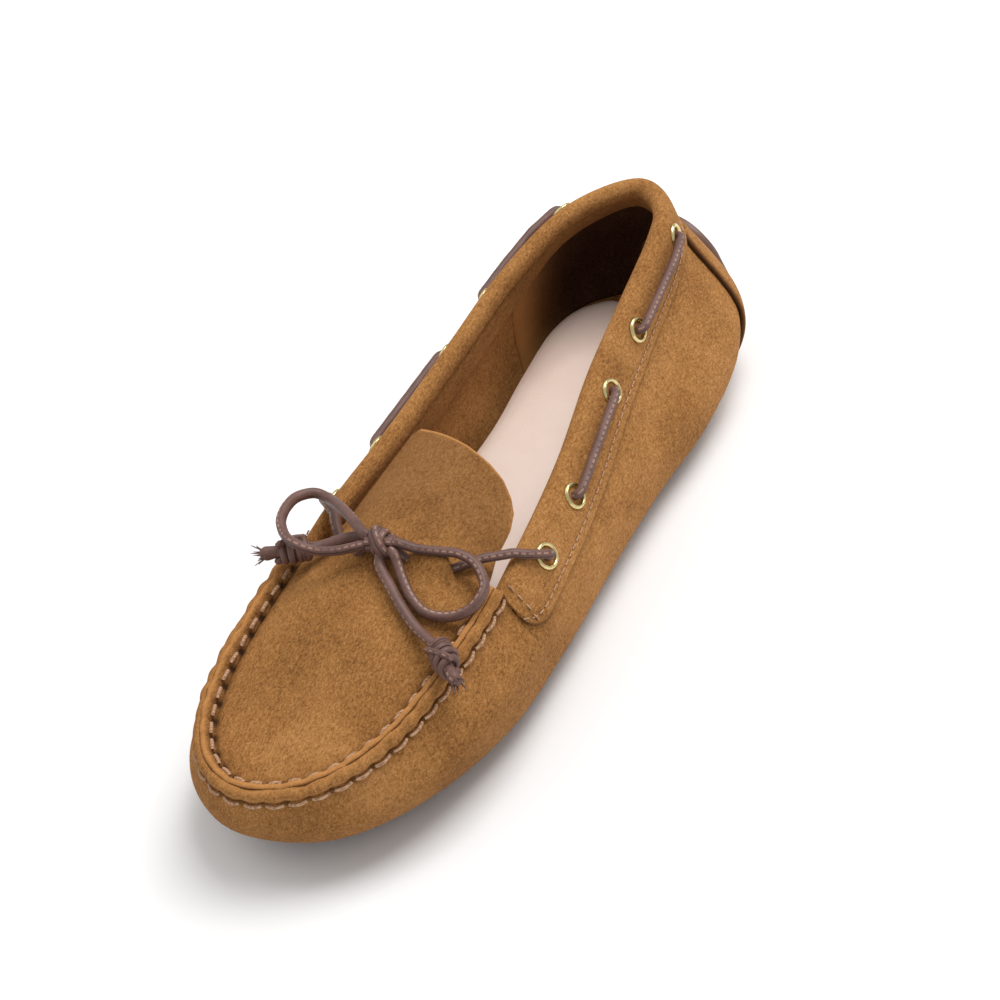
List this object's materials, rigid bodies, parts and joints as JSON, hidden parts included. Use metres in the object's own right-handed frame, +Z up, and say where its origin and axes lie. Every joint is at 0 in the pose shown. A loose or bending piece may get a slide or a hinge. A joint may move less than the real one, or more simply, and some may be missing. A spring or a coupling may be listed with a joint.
{
  "type": "driving moccasin",
  "caption": "Left suede driving moccasin with a hand-sewn apron, a laced collar tied in a bow, and rubber pods under a one-piece wrap.",
  "frame": {"origin": "on the tread of the rear ball pod, at floor level, near the middle of the shoe's length", "axes": "+X to the toe, +Y to the outer (little toe) side of a left shoe, +Z up"},
  "size_m": [0.2639, 0.0885, 0.0634],
  "materials": {
    "suede": "caramel suede, napped",
    "lining": "dark napped heel lining",
    "sock_leather": "smooth pale sock leather, satin",
    "foam": "matt foam board",
    "rubber": "brown moulded rubber, satin",
    "lace_leather": "round stitched leather lace, satin",
    "brass": "polished pale brass"
  },
  "bodies": {
    "shoe": {"moccasin_wrap": "suede", "apron": "suede", "collar_band": "suede", "heel_tab": "suede", "heel_grip_lining": "lining", "sock_insole": "sock_leather", "insole_board": "foam", "toe_pod": "rubber", "ball_front_pod": "rubber", "ball_rear_pod": "rubber", "waist_pod": "rubber", "heel_front_pod": "rubber", "heel_rear_pod": "rubber", "heel_back_pod": "rubber", "eyelet_outer_1": "brass", "eyelet_outer_2": "brass", "eyelet_outer_3": "brass", "eyelet_outer_4": "brass", "eyelet_outer_5": "brass", "eyelet_inner_1": "brass", "eyelet_inner_2": "brass", "eyelet_inner_3": "brass", "eyelet_inner_4": "brass", "eyelet_inner_5": "brass", "collar_lace": "lace_leather", "bow_knot": "lace_leather"},
    "tongue": {"tongue_flap": "suede"},
    "outer_loop": {"bow_loop_outer": "lace_leather"},
    "inner_loop": {"bow_loop_inner": "lace_leather"},
    "outer_tail": {"lace_tail_outer": "lace_leather", "barrel_knot_outer": "lace_leather"},
    "inner_tail": {"lace_tail_inner": "lace_leather", "barrel_knot_inner": "lace_leather"}
  },
  "joints": [
    {"name": "tongue_fold", "type": "hinge", "parent": "shoe", "child": "tongue", "pos_m": [0.03, 0, 0.0565], "axis": [0, 1, 0], "range_deg": [0, 50]},
    {"name": "outer_loop_lift", "type": "hinge", "parent": "shoe", "child": "outer_loop", "pos_m": [0.0457, 0.0072, 0.0595], "axis": [0.9889, -0.1483, 0], "range_deg": [0, 55]},
    {"name": "inner_loop_lift", "type": "hinge", "parent": "shoe", "child": "inner_loop", "pos_m": [0.0464, -0.0026, 0.062], "axis": [-0.995, 0.0995, 0], "range_deg": [0, 55]},
    {"name": "outer_tail_swing", "type": "hinge", "parent": "shoe", "child": "outer_tail", "pos_m": [0.049, 0.003, 0.052], "axis": [0, 0, -1], "range_deg": [0, 40]},
    {"name": "inner_tail_swing", "type": "hinge", "parent": "shoe", "child": "inner_tail", "pos_m": [0.0422, -0.003, 0.052], "axis": [0, 0, 1], "range_deg": [0, 17]}
  ]
}
